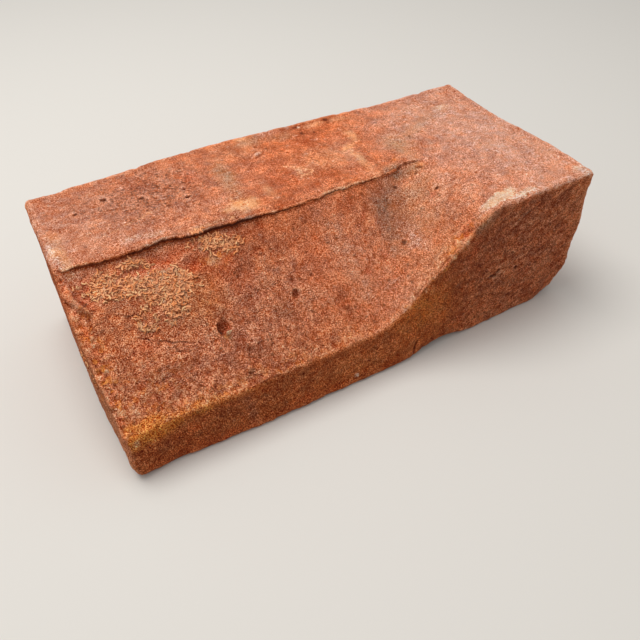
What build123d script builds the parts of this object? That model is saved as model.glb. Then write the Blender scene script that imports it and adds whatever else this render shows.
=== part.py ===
"""Fired clay plinth brick with a stopped splay, moulded and fired as one piece.

The front top edge is cut back as a sloping splay over the left part of the length. A stop, which
rises along the length, then ends the splay, and the right-hand end keeps its full square section.
A thin struck lip of clay overhangs the splay's upper edge.

Frame: the origin is the centre of the lower bed, +X runs along the length towards the full end,
+Y towards the back and +Z up. All sizes are in millimetres.
"""

from build123d import *
import os

# Work size of the brick, and the radius of its worn edges
brick_length = 215.0
brick_width = 102.5
brick_height = 65.0
arris_radius = 2.5

# Splay: the upright nib below it, and its run back from the front face
nib_height = 22.0
splay_run = 48.0

# Stop: the full section beyond it, its run along the length, and its rounded valley and shoulder
full_end_length = 58.0
stop_run = 45.0
valley_radius = 14.0
shoulder_radius = 24.0

# Struck lip: a thin skin of clay at the top, which overhangs the upper edge of the splay face
lip_thickness = 1.4
lip_overhang = 1.0

# The cutting shapes reach this far past the brick, and the shoulder clears the top by this much
overrun = 60.0
shoulder_clearance = 0.3

# Places that the shapes share
left, right = -brick_length / 2, brick_length / 2
front = -brick_width / 2
splay_head = front + splay_run
stop_head = right - full_end_length
stop_foot = stop_head - stop_run

# Slopes of the two cut faces, each from its low end to its high end
splay_low, splay_high = Vector(0, front, nib_height), Vector(0, splay_head, brick_height)
stop_low, stop_high = Vector(stop_foot, 0, nib_height), Vector(stop_head, 0, brick_height)
splay_slope = (splay_high - splay_low).normalized()
stop_slope = (stop_high - stop_low).normalized()


def full_block():
    """The plain brick before its splay is cut, standing on its lower bed."""
    return Box(
        brick_length, brick_width, brick_height, align=(Align.CENTER, Align.CENTER, Align.MIN)
    )


def space_above_splay():
    """Everything in front of and above the sloping splay face, along the whole length."""
    low = splay_low - splay_slope * overrun
    high = splay_high + splay_slope * overrun
    outline = Polyline((low.Y, low.Z), (high.Y, high.Z), (low.Y, high.Z), close=True)
    return extrude(Plane.YZ * make_face(outline), amount=brick_length / 2 + overrun, both=True)


def space_above_stop():
    """Everything above the stop's slope and its rounded shoulder, across the whole width."""
    low = stop_low - stop_slope * overrun
    ceiling = brick_height + shoulder_clearance
    shoulder = stop_high + stop_slope * (shoulder_clearance / stop_slope.Z)
    sky = brick_height + 2 * overrun
    outline = Polyline(
        (low.X, low.Z),
        (shoulder.X, ceiling),
        (right + overrun, ceiling),
        (right + overrun, sky),
        (left - overrun, sky),
        (left - overrun, low.Z),
        close=True,
    )
    profile = make_face(outline)
    corner = profile.vertices().sort_by_distance((shoulder.X, ceiling, 0))[0]
    profile = fillet(corner, shoulder_radius)
    return extrude(Plane.XZ * profile, amount=brick_width / 2 + overrun, both=True)


def stopped_splay():
    """The clay that the block lacks, with a rounded valley where its two sloping faces meet."""
    cut = space_above_splay() & space_above_stop()
    across_stop = stop_slope.cross(Vector(0, 1, 0))
    across_splay = splay_slope.cross(Vector(1, 0, 0))
    valley_direction = across_stop.cross(across_splay).normalized()
    valley = [
        edge
        for edge in cut.edges().filter_by(GeomType.LINE)
        if abs((edge @ 1 - edge @ 0).normalized().dot(valley_direction)) > 0.9999
    ]
    return fillet(valley, valley_radius)


def struck_lip():
    """The strip under the top face that overhangs the splay face as far as the stop."""
    splay_under_lip = splay_high - splay_slope * (lip_thickness / splay_slope.Z)
    lip_front = splay_under_lip.Y - lip_overhang
    lip_back = splay_head + arris_radius
    start = left + arris_radius
    strip = Box(
        stop_head - start,
        lip_back - lip_front,
        lip_thickness,
        align=(Align.MIN, Align.MIN, Align.MAX),
    )
    return Pos(start, lip_front, brick_height) * strip


worn_block = full_block() - stopped_splay()
worn_block = fillet(worn_block.edges(), arris_radius)
brick = worn_block + struck_lip()

os.makedirs("parts", exist_ok=True)
export_step(brick, "parts/clay_brick.step")
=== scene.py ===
import math
from typing import NamedTuple

import bmesh
import bpy
import numpy as np
from bpy.props import FloatProperty, FloatVectorProperty, IntProperty, PointerProperty
from mathutils import Matrix, Vector, noise


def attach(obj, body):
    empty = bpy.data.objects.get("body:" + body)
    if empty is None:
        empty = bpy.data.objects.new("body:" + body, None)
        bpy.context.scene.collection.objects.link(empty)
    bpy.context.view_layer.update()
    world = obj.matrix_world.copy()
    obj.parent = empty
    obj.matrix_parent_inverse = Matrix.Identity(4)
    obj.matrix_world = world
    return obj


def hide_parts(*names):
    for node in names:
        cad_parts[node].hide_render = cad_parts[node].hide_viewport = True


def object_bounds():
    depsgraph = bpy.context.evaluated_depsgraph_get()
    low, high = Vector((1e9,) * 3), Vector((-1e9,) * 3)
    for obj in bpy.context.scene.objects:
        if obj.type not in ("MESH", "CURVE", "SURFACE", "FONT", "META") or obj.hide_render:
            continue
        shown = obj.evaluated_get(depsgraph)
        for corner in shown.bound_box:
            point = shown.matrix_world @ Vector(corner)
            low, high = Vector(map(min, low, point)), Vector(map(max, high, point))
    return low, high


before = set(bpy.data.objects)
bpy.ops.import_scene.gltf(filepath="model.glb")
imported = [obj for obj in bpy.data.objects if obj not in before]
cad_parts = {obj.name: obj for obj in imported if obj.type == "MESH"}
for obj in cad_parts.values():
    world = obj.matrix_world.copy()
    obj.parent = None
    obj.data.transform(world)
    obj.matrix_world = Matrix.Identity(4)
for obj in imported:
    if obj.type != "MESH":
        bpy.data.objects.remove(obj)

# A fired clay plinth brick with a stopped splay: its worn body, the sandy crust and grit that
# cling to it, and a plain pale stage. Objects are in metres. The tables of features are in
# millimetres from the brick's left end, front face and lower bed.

bl_info = {
    "name": "Stopped plinth brick",
    "version": (1, 0, 0),
    "blender": (4, 5, 0),
    "location": "View3D > Sidebar > Brick",
    "description": "Builds a worn handmade clay brick with a stopped splay, and a stage for it",
    "category": "Add Mesh",
}

NODE = "clay_brick"
BODY = "root"
MM = 0.001

CAD_LOW, CAD_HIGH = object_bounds()
LENGTH, _, HEIGHT = (CAD_HIGH - CAD_LOW) / MM
CORNER = np.array(CAD_LOW)

# Where the solid's splay and lip lie, in millimetres
NIB_HEIGHT = 22.0
SPLAY_RUN = 48.0
SPLAY_RISE = HEIGHT - NIB_HEIGHT
LIP_FRONT = 45.4
LIP_THICKNESS = 1.4
LIP_UNDERSIDE = HEIGHT - LIP_THICKNESS
LIP_END = 156.0
INTO_SPLAY = np.array((0.0, SPLAY_RISE, -SPLAY_RUN)) / math.hypot(SPLAY_RISE, SPLAY_RUN)

# How the torn lip gives way: from how far before its end, over what length, and above what height
LIP_EASE = 8.0
LIP_TAPER = 14.0
LIP_FOOT = NIB_HEIGHT + 20.0

# How many radii out a dent and a blotch end, and how far off a line is still measured
DENT_REACH = 1.35
BLOTCH_REACH = 2.0
LINE_REACH = 9.0

# How finely the thinned mesh is kept on a plain face, and how much finer on those that show
PLAIN_DETAIL = 0.30
FACE_DETAIL = {"upper": 0.32, "front": 0.22, "left": 0.20}
WEIGHT_STEPS = 16

# Slope of the lines that the mould dragged along the faces, and depth of the creases in metres
DRAG_RISE = math.radians(24)
CREASE_DEPTH = 0.0003

# How far strewn crumbs lean, in radians, and how far a strand bends
LEAN = 0.4
STRAND_BEND = math.radians(110)

# Shine of the matt clay, and how near two corners of the solid's mesh are joined, in metres
CLAY_SHINE = 0.12
JOIN_DISTANCE = 1e-6


class Shove(NamedTuple):
    """A broad move of the clay, full at its centre and nothing at its reach along each axis."""

    centre: tuple
    reach: tuple
    shift: tuple


# The brick slumped and knocked out of square while its clay was wet, and lost chips since
SHOVES = (
    # left end, bowed out
    Shove((0, 40, 42), (20, 70, 100), (-3.7, 0, 0)),
    Shove((0, 102, 65), (24, 60, 60), (-1.7, 0.2, 0)),
    # nib, spread at its foot
    Shove((66, 0, 0), (120, 18, 30), (0, -2.9, 0)),
    Shove((116, 0, 0), (24, 14, 22), (0, -1.2, 0)),
    Shove((0, 0, 6), (20, 20, 30), (-0.8, -1.8, 0)),
    # back face, bowed
    Shove((88, 102, 50), (95, 24, 60), (0, 3.5, 0)),
    Shove((0, 102, 60), (30, 20, 60), (0, -1.6, 0)),
    Shove((36, 102, 62), (34, 20, 60), (0, -0.9, 0)),
    # full end, bulging and a little proud of the top
    Shove((215, 90, 45), (16, 40, 60), (1.6, 0, 0)),
    Shove((215, 25, 50), (16, 30, 40), (1.6, 0, 0)),
    Shove((215, 0, 40), (16, 20, 14), (1.2, 0, 0)),
    Shove((190, 20, 65), (50, 80, 40), (0, 0, 1.6)),
    Shove((215, 97, 60), (20, 12, 40), (0.8, 0, 0)),
    Shove((215, 66, 64), (14, 28, 40), (-0.9, 0, 0)),
    # lower right front corner, worn away
    Shove((215, 0, 0), (20, 16, 18), (-3.4, 2.2, 2.6)),
    # lower front edge, lifted off the floor under the stop
    Shove((139, 0, 0), (22, 12, 9), (0, 0.3, 2.6)),
    # shoulder, left a little proud at the front, and its corner chipped off
    Shove((161, 0, 65), (13, 13, 14), (0, -0.3, 0.9)),
    Shove((150, 0, 57), (6, 5, 7), (0.4, 0.8, -1.6)),
    # lower left front corner, rounded
    Shove((0, 0, 0), (8, 8, 8), (1.0, 1.0, 0.8)),
)


# Each face's two axes, the direction it looks in, and how squarely the clay must look that way
FACES = {
    "upper": ((0, 1), (0, 0, 1), (0.42, 0.58)),
    "front": ((0, 2), (0, -1, 0), (0.74, 0.90)),
    "left": ((1, 2), (-1, 0, 0), (0.60, 0.85)),
}

# Hollows, and swellings with a negative depth, as ellipses seen square to each face: the centre,
# the radii, the turn in degrees and the depth
DENTS = {
    "upper": (
        # hollows torn out under the lip
        (34, 43.5, 9, 3.4, 0, 1.8), (45, 38.5, 6, 2.8, -8, 1.3), (25, 42.3, 6, 1.6, 0, 0.9),
        (6, 42, 6, 5, 0, 1.6), (63, 31, 8, 3, 10, 0.7),
        # pits in the splay, two with grit in them
        (47, 18.4, 2.4, 2.0, 0, 3.0), (47.4, 16.8, 1.0, 0.8, 0, -2.4), (79.5, 20, 1.5, 1.3, 0, 2.0),
        (71, 36, 2.2, 1.6, 0, 1.0), (71.3, 35.8, 0.9, 0.8, 0, -1.2), (66, 46.3, 1.3, 0.8, 0, -1.4),
        # clods left proud of the torn splay
        (55, 12, 4, 2.5, 15, -0.8), (50.5, 5, 1.4, 1.1, 0, -1.0), (98, 11.5, 1.2, 0.9, 0, -0.9),
        # ridge that curls down from the lip at the left end
        (2.4, 42.5, 1.3, 3.2, 5, -1.9), (3.8, 38.0, 1.3, 2.8, 22, -2.0), (5.4, 35.6, 1.4, 0.9, -30, -1.2),
        # shallow troughs that the tool left in the splay
        (30, 22, 26, 6, -12, 0.7), (95, 30, 14, 12, 0, 0.6),
        # hollow at the head of the stop, and pits below the lip's end
        (131, 32, 7, 14, -28, 0.9), (143, 45, 5, 4, 0, 1.0),
        (152.4, 43.4, 0.9, 0.6, 0, 0.7), (153.5, 29.5, 0.9, 0.8, 0, 1.0),
        # chips out of the stop's front edge
        (148, 1.5, 3.6, 2.8, 25, 1.5), (138, 0, 2.6, 1.8, 0, 1.0),
        # pits and a flake in the top
        (40, 79, 1.2, 1.0, 0, 1.4), (26.5, 85.5, 1.2, 1.0, 0, 1.3), (57, 70, 1.3, 0.8, 20, 0.9),
        (58, 76.5, 1.0, 0.7, 30, 0.8), (14, 80.5, 0.9, 0.7, 0, 0.8), (96, 85.5, 3.2, 1.0, 25, -0.7),
        (96.5, 84, 3.2, 0.6, 25, 0.6), (119, 74, 1.0, 0.8, 0, 0.9), (188, 33, 1.6, 0.8, 20, 0.9),
    ),
    "front": (
        # chip in the stop's slope
        (128, 37, 2.4, 2.0, 45, 0.9),
        # slot and pits below the shoulder
        (166.5, 28.8, 3.2, 0.9, 14, 3.4), (169, 30.2, 1.3, 1.0, 0, 2.6), (180.5, 27.5, 1.0, 0.7, 0, 1.8),
        # fold in the nib, and its cracked foot
        (47, 11, 1.4, 10, 8, 0.4), (126, 5, 1.0, 4, -14, 0.7),
    ),
}

# The lip at places along the length: how far it stands back (or with a minus out) from the
# solid's, how deep the clay is torn away under it, how far it curls up, and how dark the painted
# shadow in its gap is
LIP_LINE = (
    (0, 3.1), (11, 2.9), (18, 1.9), (23, 0.7), (28, 1.6), (37, 2.9), (43, 1.6), (50, -0.6), (63, -0.2),
    (75, -1.1), (91, -2.5), (105, -0.6), (116, -0.8), (128, -0.1), (139, 0.5), (147, 2.4), (156, 4.2),
)
LIP_HOLLOW = (
    (0, -0.5), (5, 0.0), (8, 0.35), (16, 0.3), (20, 0.0), (25, 0.7), (36, 1.1), (48, 0.5), (60, 0.5),
    (76, 0.2), (84, -0.4), (156, -0.4),
)
LIP_CURL = (
    (0, -0.5), (5, -0.2), (28, -0.1), (44, -0.2), (60, 0.1), (76, -0.1), (84, -0.5), (156, -0.6),
)
# How dark the shadow painted in the gap under the lip is, along the length
LIP_SHADOW_STRENGTH = (
    (0, 0.2), (4, 0.5), (7, 0.8), (15, 0.8), (19, 0.5), (24, 0.9), (44, 0.9), (48, 1.0), (76, 1.0),
    (82, 0.75), (130, 0.6), (138, 0.25), (144, 0.05),
)

# What a vertex carries beside its finishes
MEASURES = (
    "edge", "relief", "crease", "crease_open", "vein", "vein_strength", "lip", "lip_shadow_strength", "lip_offset",
    "lip_drop",
)

# Where each finish lies on each face, as ellipses: the centre, the radii, the turn in degrees and
# the strength, which is halved one radius out
BLOTCHES = {
    # rough, torn clay of the splay, stop and nib
    "torn": {
        "upper": ((40, 10, 68, 32, 0, 1.0), (118, 22, 46, 28, 0, 0.58)),
        "front": ((20, 10, 50, 18, 0, 0.8), (100, 12, 50, 18, 0, 0.45), (185, 35, 50, 50, 0, 0.9)),
        "left": ((30, 30, 60, 60, 0, 0.35),),
    },
    # edges that crumble
    "crumble": {
        "upper": (
            (0.0, 18, 2.6, 24, 0, 1.0), (1.0, 41, 4.5, 5, 0, 0.9), (45, 1, 50, 2.2, 0, 0.5),
            (22, 6, 26, 6, 0, 0.35), (140, 2.5, 13, 3, 0, 0.6),
        ),
        "front": ((20, 21.5, 34, 2, 0, 0.4), (1, 12, 3, 11, 0, 0.4), (138, 45, 12, 3, 45, 0.5)),
        "left": ((20, 24, 26, 3, 45, 0.4),),
    },
    # coloured flecks, mostly where the edges crumble, partly painted highlights on the crumbs
    "flecks": {
        "upper": (
            (0.0, 17, 3.0, 19, 0, 0.95), (12, 8, 14, 8, 0, 0.4), (50, 1.5, 45, 2.5, 0, 0.5),
            (146, 3, 6, 3, 0, 0.7), (134, 1.2, 16, 1.4, 0, 0.6), (54, 37.5, 4.5, 2.2, -10, 0.9),
        ),
        "front": ((138, 44, 13, 1.6, 45, 0.9),),
        "left": ((20, 24, 30, 3, 45, 0.6),),
    },
    # deep red-brown of the front face
    "raw": {
        "front": ((60, 5, 110, 60, 0, 1.0), (138, 22, 26, 34, 0, 1.0), (190, 30, 50, 60, 0, 0.2)),
        "left": ((50, 30, 90, 60, 0, 0.15),),
    },
    # pale pink dust
    "dust": {
        "upper": (
            (196, 50, 33, 62, 0, 0.85), (186, 57, 26, 7, 0, 0.3), (26, 76, 46, 26, 0, 0.42),
            (6, 72, 5, 26, 0, 0.3), (12, 60, 20, 3, 14, 0.45), (107.5, 21, 4, 14, 8, 0.28),
            (112, 22, 12, 26, 20, 0.2), (62, 20, 50, 14, 8, 0.16), (69, 64, 5, 8, 0, 0.3),
            (31, 53, 10, 3, 0, 0.75), (2, 62, 4, 18, 0, 0.6), (133, 66, 6, 13, -10, 0.35),
            (107, 66, 7, 4, 20, 0.15), (137, 21, 2.6, 8, 8, 0.55), (108, 101, 5, 2, 0, 0.6),
            (185, 88, 28, 9, 15, 0.78), (172, 72, 20, 9, 20, 0.8), (198, 2.4, 18, 1.6, 0, 0.7),
        ),
        "front": ((185, 35, 40, 40, 0, 0.1),),
    },
    # tan of the stop
    "tan": {
        "upper": (
            (107.5, 21, 4.4, 14, 8, 0.5), (142, 26, 13, 16, 0, 0.64), (153.5, 30, 3.5, 11, 0, 0.45),
            (130, 4.5, 20, 5, 0, 0.7), (72, 16, 3, 2.4, 0, 0.5), (110, 4, 14, 4, 0, 0.25),
        ),
        "left": ((20, 14, 44, 16, 0, 0.65),),
    },
    # orange, freshly scuffed clay
    "fresh": {
        "upper": (
            (112, 70, 32, 20, 0, 0.38), (100, 24, 16, 16, 0, 0.24), (112, 5, 14, 5, 0, 0.35),
            (125, 84, 24, 7, 0, 0.4), (63.5, 83.5, 3.2, 5, 0, 0.85), (38, 86, 9, 8, 0, 0.3),
            (36, 43.8, 9, 2.4, 0, 0.95), (45.5, 38.5, 5, 2.6, 0, 0.95), (25, 42.3, 5, 1.3, 0, 0.9),
            (58, 33, 8, 5, 0, 0.4), (93, 30, 10, 9, 0, 0.4), (95, 42, 24, 5, 0, 0.3),
            (-1.2, 22, 1.6, 26, 0, 0.7), (4.0, 42.5, 5.4, 4, 0, 1.0), (3.4, 38.5, 2.2, 3.4, 20, 1.0),
            (48.2, 18.6, 1.5, 1.8, 0, 1.1), (26, 42.6, 4.5, 1.6, -8, 1.0), (148.5, 3.2, 3, 2.4, 20, 0.95),
            (113, 19, 1.4, 1.2, 0, 0.9), (123.5, 22, 1.8, 1.3, 0, 0.9), (151, 28, 1.4, 1.2, 0, 0.8),
            (121, 36, 1.1, 1.4, 0, 1.0), (18, 21, 4, 2.2, -15, 0.7), (57, 35, 6, 4, 0, 0.7),
        ),
        "front": (
            (45, 3, 45, 2.4, 0, 0.55), (35, 2.5, 5, 2, 0, 0.9), (71, 5.5, 4, 2.4, 0, 0.9),
            (200, 28, 18, 18, 0, 0.2), (153, 48, 1.5, 7, -8, 0.9), (188, 23, 1.3, 3.4, -20, 0.9),
        ),
    },
    # bright yellow-orange
    "amber": {
        "upper": (
            (74.4, 53.0, 4.8, 3.6, 0, 1.3), (68, 52.4, 3.0, 1.7, 0, 0.85), (88, 58, 2.2, 8, 0, 0.5),
            (122, 70, 18, 12, 0, 0.4), (134.8, 60, 2.6, 8, -8, 0.72), (142.5, 80, 2.4, 7, 0, 0.66),
            (135, 72, 5, 2.0, 30, 0.72), (53, 37.5, 3.4, 1.4, -10, 0.66), (133, 98.5, 6, 2.2, 0, 0.55),
            (146, 97.5, 5, 2.4, 0, 0.5), (95, 102, 3, 1.6, 0, 0.6), (2.0, 58, 2.4, 15, 0, 0.54),
            (47.3, 16.5, 1.3, 1.0, 0, 1.5), (66, 46.4, 1.2, 0.7, 0, 0.9), (155, 46.2, 2.6, 0.8, -40, 0.75),
        ),
    },
    # ochre: yellow-brown stain, and painted highlight along the nib's upper edge and painted warm bounce
    # light on the front
    "ochre": {
        "upper": (
            (44, 28, 8, 6, 0, 0.4), (7, 1.2, 9, 1.8, 0, 1.1), (25, 0.8, 11, 1.2, 0, 0.8),
            (147.5, 52.5, 1.6, 1.6, 0, 0.8),
        ),
        "front": (
            (7, 20.0, 11, 3.4, 0, 1.3), (27, 21.0, 13, 1.8, 0, 0.6), (47, 21, 10, 1.4, 0, 0.35),
            (88, 12, 42, 9, 0, 0.2), (128, 24, 14, 15, 30, 0.45),
        ),
    },
    # grey-green burning
    "olive": {
        "upper": (
            (76.5, 76, 3.4, 12, -4, 1.0), (76, 62, 2.6, 7, 0, 0.6), (98, 98, 6, 3.4, 0, 0.8),
            (114, 95.5, 5, 3.2, 0, 0.6), (90, 92, 8, 6, 0, 0.35), (175, 73, 17, 3.6, 27, 0.52),
            (156, 62, 5, 9, 0, 0.85), (144.5, 47.0, 4.0, 1.8, 0, 1.1), (146, 36, 6, 5, 0, 0.55),
            (60, 48.2, 14, 1.0, 0, 0.7), (151.5, 45.2, 4.0, 2.0, -20, 1.0),
        ),
        "front": ((72, 14, 40, 8, 0, 0.14), (2.0, 18.6, 1.1, 1.1, 0, 1.0), (153, 62, 5, 4, 0, 1.0)),
    },
    # mauve burning, and painted shade along the hollow at the head of the stop and in the nib's fold
    "mauve": {
        "upper": (
            (145.5, 46.6, 2.6, 1.2, 0, 0.9), (138.2, 42.0, 4.8, 3.4, 35, 0.85),
            (132.4, 36.8, 5.6, 4.2, 48, 0.95), (130.0, 31, 4.2, 7.0, 0, 0.85),
            (128.6, 24, 2.2, 5.0, 0, 0.6), (133, 32, 8, 12, 0, 0.3), (14.5, 34, 4, 2.6, 0, 0.45),
            (24, 77, 46, 28, 0, 0.2), (180, 84, 30, 10, 20, 0.1),
        ),
        "front": ((47, 11, 1.8, 9, 8, 0.2),),
    },
    # cream sandy crust
    "crust": {
        "upper": (
            (11, 41, 7.5, 4, -12, 0.9), (16.5, 37.5, 5, 2.6, 0, 0.7), (23.5, 45, 5, 1.8, 0, 0.95),
            (30, 43.6, 3.4, 0.8, 0, 0.85), (24, 38, 6, 2.8, 0, 1.0), (31, 35, 9.5, 5, 8, 1.1),
            (40, 34, 5.5, 3.6, 10, 1.0), (32, 28, 4.6, 3.2, 0, 1.0), (20.6, 38.8, 2.0, 3.0, 0, 1.7),
            (36, 30, 2.4, 3.0, 0, 1.4), (18.3, 28.4, 0.7, 1.7, 0, 1.25), (19.6, 25.8, 1.6, 0.7, -25, 1.25),
            (22.6, 25.6, 1.6, 0.7, 15, 1.25), (24.4, 27.8, 0.7, 1.7, 0, 1.25),
            (22.6, 30.4, 1.8, 0.7, -15, 1.1), (55, 43.8, 6.5, 3.6, 0, 1.1), (52, 46.0, 4, 1.6, 0, 0.9),
            (61.5, 40.8, 5, 2.8, 0, 0.85),
        ),
        "left": ((31, 33, 8, 2, 45, 0.7),),
    },
    # pale peach skin
    "peach": {
        "upper": (
            (166, 5.0, 7, 2.2, 12, 2.0), (162, 3.8, 3.0, 1.8, 20, 1.8), (177, 2.8, 9, 1.4, 4, 0.75),
            (211, 4, 3.6, 3.6, 0, 0.64), (27, 54, 4.4, 2.4, 0, 0.45), (36, 51.6, 3, 1.8, 0, 0.45),
            (0, 58, 1.4, 14, 0, 0.5), (124.8, 99.8, 0.8, 0.6, 0, 1.3), (96, 86, 3, 0.8, 25, 0.55),
            (195, 83, 5, 3, 0, 0.55),
        ),
        "front": ((95.5, 5, 0.8, 0.7, 0, 1.2), (177, 55.5, 3.4, 0.5, 28, 0.8)),
    },
    # painted shade in the pits and the slot, and sooty specks
    "pit_shade_and_soot": {
        "upper": (
            (40, 79, 1.3, 1.0, 0, 1.2), (26.5, 85.5, 1.3, 0.9, 0, 1.2), (57, 70, 1.3, 0.7, 20, 1.1),
            (58, 76.5, 1.1, 0.7, 30, 1.0), (14, 80.5, 1.0, 0.8, 0, 1.0), (140, 99.6, 1.5, 1.1, 0, 1.1),
            (123.2, 100.4, 1.4, 0.8, 0, 1.0), (123.5, 94, 1.4, 1.2, 0, 0.9), (129, 92, 1.2, 0.9, 0, 0.8),
            (2, 39.0, 1.0, 1.6, 20, 0.7), (44, 80, 26, 19, 0, 0.4), (102, 89.5, 0.9, 0.7, 0, 0.9),
            (165, 66, 1.2, 0.7, 0, 0.6), (165, 48.5, 1.0, 0.6, 0, 0.6), (45.7, 18.8, 1.0, 1.6, 0, 1.2),
            (79.2, 20.3, 0.9, 0.7, 0, 0.7), (155.0, 44.2, 1.6, 0.6, -30, 0.9),
            (152.2, 43.4, 0.9, 0.5, 0, 0.6), (153.5, 29.5, 0.8, 0.7, 0, 1.0), (141, 42, 1.0, 0.8, 0, 1.0),
            (133, 22.5, 1.0, 0.9, 0, 0.9), (134, 34, 5, 6, 0, 0.25),
        ),
        "front": (
            (166.5, 28.8, 3.0, 0.9, 14, 1.3), (169, 30.2, 1.2, 0.9, 0, 1.2),
            (180.5, 27.5, 0.9, 0.7, 0, 1.0), (126, 5, 0.9, 3.6, -14, 0.8),
        ),
    },
    # lines that the striking board and the mould dragged
    "drag": {
        "upper": ((36, 74, 60, 26, 0, 0.3),),
        "front": ((182, 36, 34, 44, 0, 0.62), (80, 12, 70, 16, 0, 0.35)),
    },
}


class Line(NamedTuple):
    """A fine line on the upper faces, from its first point to its last, and how strong it is."""

    points: tuple
    strength: float


# Cracks that opened in the wet clay, grooved a little and painted dark as shade
CREASES = (
    Line(((10.4, 32.5), (12.9, 31.5), (16.1, 30.4), (20.1, 29.2), (21.5, 28.6)), 0.75),
    Line(
        ((11.8, 26.3), (14.9, 24.5), (18.0, 23.2), (22.9, 21.5), (28.9, 19.5), (38.1, 16.4), (40, 15.6)),
        0.85,
    ),
    Line(((24, 17.2), (28, 16.4), (33, 15.4)), 0.6),
    Line(((0.6, 41), (1.6, 38.0), (3.2, 35.2), (5.4, 34.4), (7, 34.8)), 1.0),
    Line(((51, 14.5), (53.5, 10.5), (52, 7.5), (58, 6.5)), 0.6),
    Line(((60, 7.0), (63, 9.5), (62, 14.5)), 0.6),
    Line(((120.5, 3), (124, 6.5), (126, 11)), 0.5),
)

# Pale lines of salt on the top
VEINS = (
    Line(((104.6, 65.3), (105.6, 66.7), (107.2, 66.0), (107.1, 64.4), (105.6, 63.9), (104.4, 64.8)), 1.5),
    Line(((108.4, 62.9), (109.4, 64.4), (111.3, 63.8), (111.4, 62.0), (109.8, 61.2), (108.3, 62.2)), 1.5),
    Line(((107.2, 64.2), (106.8, 62.6), (107.6, 61.6), (109.8, 61.2)), 1.3),
    Line(((107.0, 62.4), (105.4, 61.4), (104.2, 59.4)), 1.2),
    Line(((100.4, 71.4), (102.0, 70.8), (103.8, 69.8)), 1.0),
    Line(((104.2, 70.4), (105.4, 69.4), (107.0, 68.8)), 1.3),
    Line(((106.4, 68.0), (108.6, 67.4), (110.4, 66.0)), 0.8),
    Line(((142.0, 77), (139, 73), (134.5, 71), (131.3, 71.4)), 0.7),
    Line(((139, 73), (134.2, 67.2), (135.9, 60.1)), 0.6),
    Line(((72.4, 55.8), (71.6, 59.0), (72.6, 62.4)), 0.7),
    Line(((12, 58.6), (24, 62.0), (38, 66.2), (52, 71.0)), 0.5),
    Line(((4, 61.8), (14, 64.6), (27, 68.6)), 0.4),
)


def number(name, description, default, unit="NONE"):
    return FloatProperty(name=name, description=description, default=default, unit=unit)


def length(name, description, default):
    return number(name, description, default, "LENGTH")


class BrickForm(bpy.types.PropertyGroup):
    """Sizes of the brick's worn surface."""

    voxel: length("Voxel", "Spacing of the mesh that takes the wear", 0.0005)
    triangle_limit: IntProperty(
        name="Triangle Limit", description="Triangles that the finished body may have", default=195000
    )
    warp: length("Warp", "How far whole faces wander", 0.0009)
    lump: length("Lumps", "Height of the thumb-sized swells", 0.0019)
    clod: length("Clods", "Height of the pea-sized swells", 0.0017)
    grain: length("Grain", "Height of the torn clay's grain", 0.0017)
    drag: length("Drag", "Height of the lines that the mould dragged", 0.0036)
    pit: length("Pits", "Depth of the scattered pits", 0.0010)
    chip: length("Chips", "Depth of the chips along the edges", 0.0024)
    crumb: length("Crumbs", "Height of the crumbs on the torn edges", 0.0019)
    seed: IntProperty(name="Seed", description="Picks one brick of the many", default=7)


class StrewnForm(bpy.types.PropertyGroup):
    """Sizes and numbers of the crumbs that cling to the brick."""

    strand_length: length("Strand Length", "Length of one strand of the crust", 0.0021)
    strand_thickness: length("Strand Thickness", "Thickness of one strand", 0.00070)
    strand_density: number("Strand Density", "Strands on each square metre of crust", 7.6e5)
    grain_size: length("Grain Size", "Width of a usual grain of grit", 0.00055)
    grain_density: number("Grain Density", "Grains on each square metre of torn clay", 3.0e5)
    seed: IntProperty(name="Seed", description="Picks where the crumbs lie", default=3)


def srgb(red, green, blue):
    """A colour as a screen shows it, 0 to 255, as the linear colour that a shader takes."""
    parts = (np.array((red, green, blue)) / 255.0).tolist()
    return [c / 12.92 if c <= 0.04045 else ((c + 0.055) / 1.055) ** 2.4 for c in parts]


def colour(name, description, default):
    return FloatVectorProperty(
        name=name, description=description, subtype="COLOR", size=3, min=0, max=1, default=srgb(*default)
    )


class BrickColours(bpy.types.PropertyGroup):
    """Colours of the clay and of what lies on it."""

    clay: colour("Clay", "Red-brown of the fired clay", (243, 141, 89))
    umber: colour("Umber", "Darker clay between its lighter parts", (186, 96, 58))
    raw: colour("Raw Clay", "Tint of the deep-coloured front face", (228, 198, 160))
    fresh: colour("Fresh Clay", "Orange of newly scuffed clay", (226, 104, 54))
    dust: colour("Dust", "Pale pink dust on the top", (238, 174, 144))
    tan: colour("Tan", "Paler clay of the stop", (222, 148, 104))
    amber: colour("Amber", "Bright yellow-orange clay and middling strands of crust", (255, 183, 132))
    # Ochre is partly a stain, partly painted highlight and bounce light on the nib
    ochre: colour("Ochre", "Yellow-brown stain", (250, 142, 60))
    olive: colour("Olive", "Grey-green burning", (204, 148, 110))
    # Mauve is partly burning, partly painted shade in the hollow at the head of the stop and in the nib's
    # fold
    mauve: colour("Mauve", "Grey-purple burning", (168, 122, 98))
    cream: colour("Cream", "Palest strands of the sandy crust", (255, 208, 154))
    husk: colour("Husk", "Darkest strands of the sandy crust", (252, 168, 108))
    peach: colour("Peach", "Pale skin on the corners", (255, 214, 182))
    # Painted shade on the sides of the strands that look away from up and forward
    strand_shade: colour("Rind", "Sides of the strands, stained by the clay under them", (176, 76, 34))
    # Painted shade: the dark of pits, pores and cracks, and of the gap under the lip
    pore_shade: colour("Pores", "Inside of pits and pores", (84, 38, 24))


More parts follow.
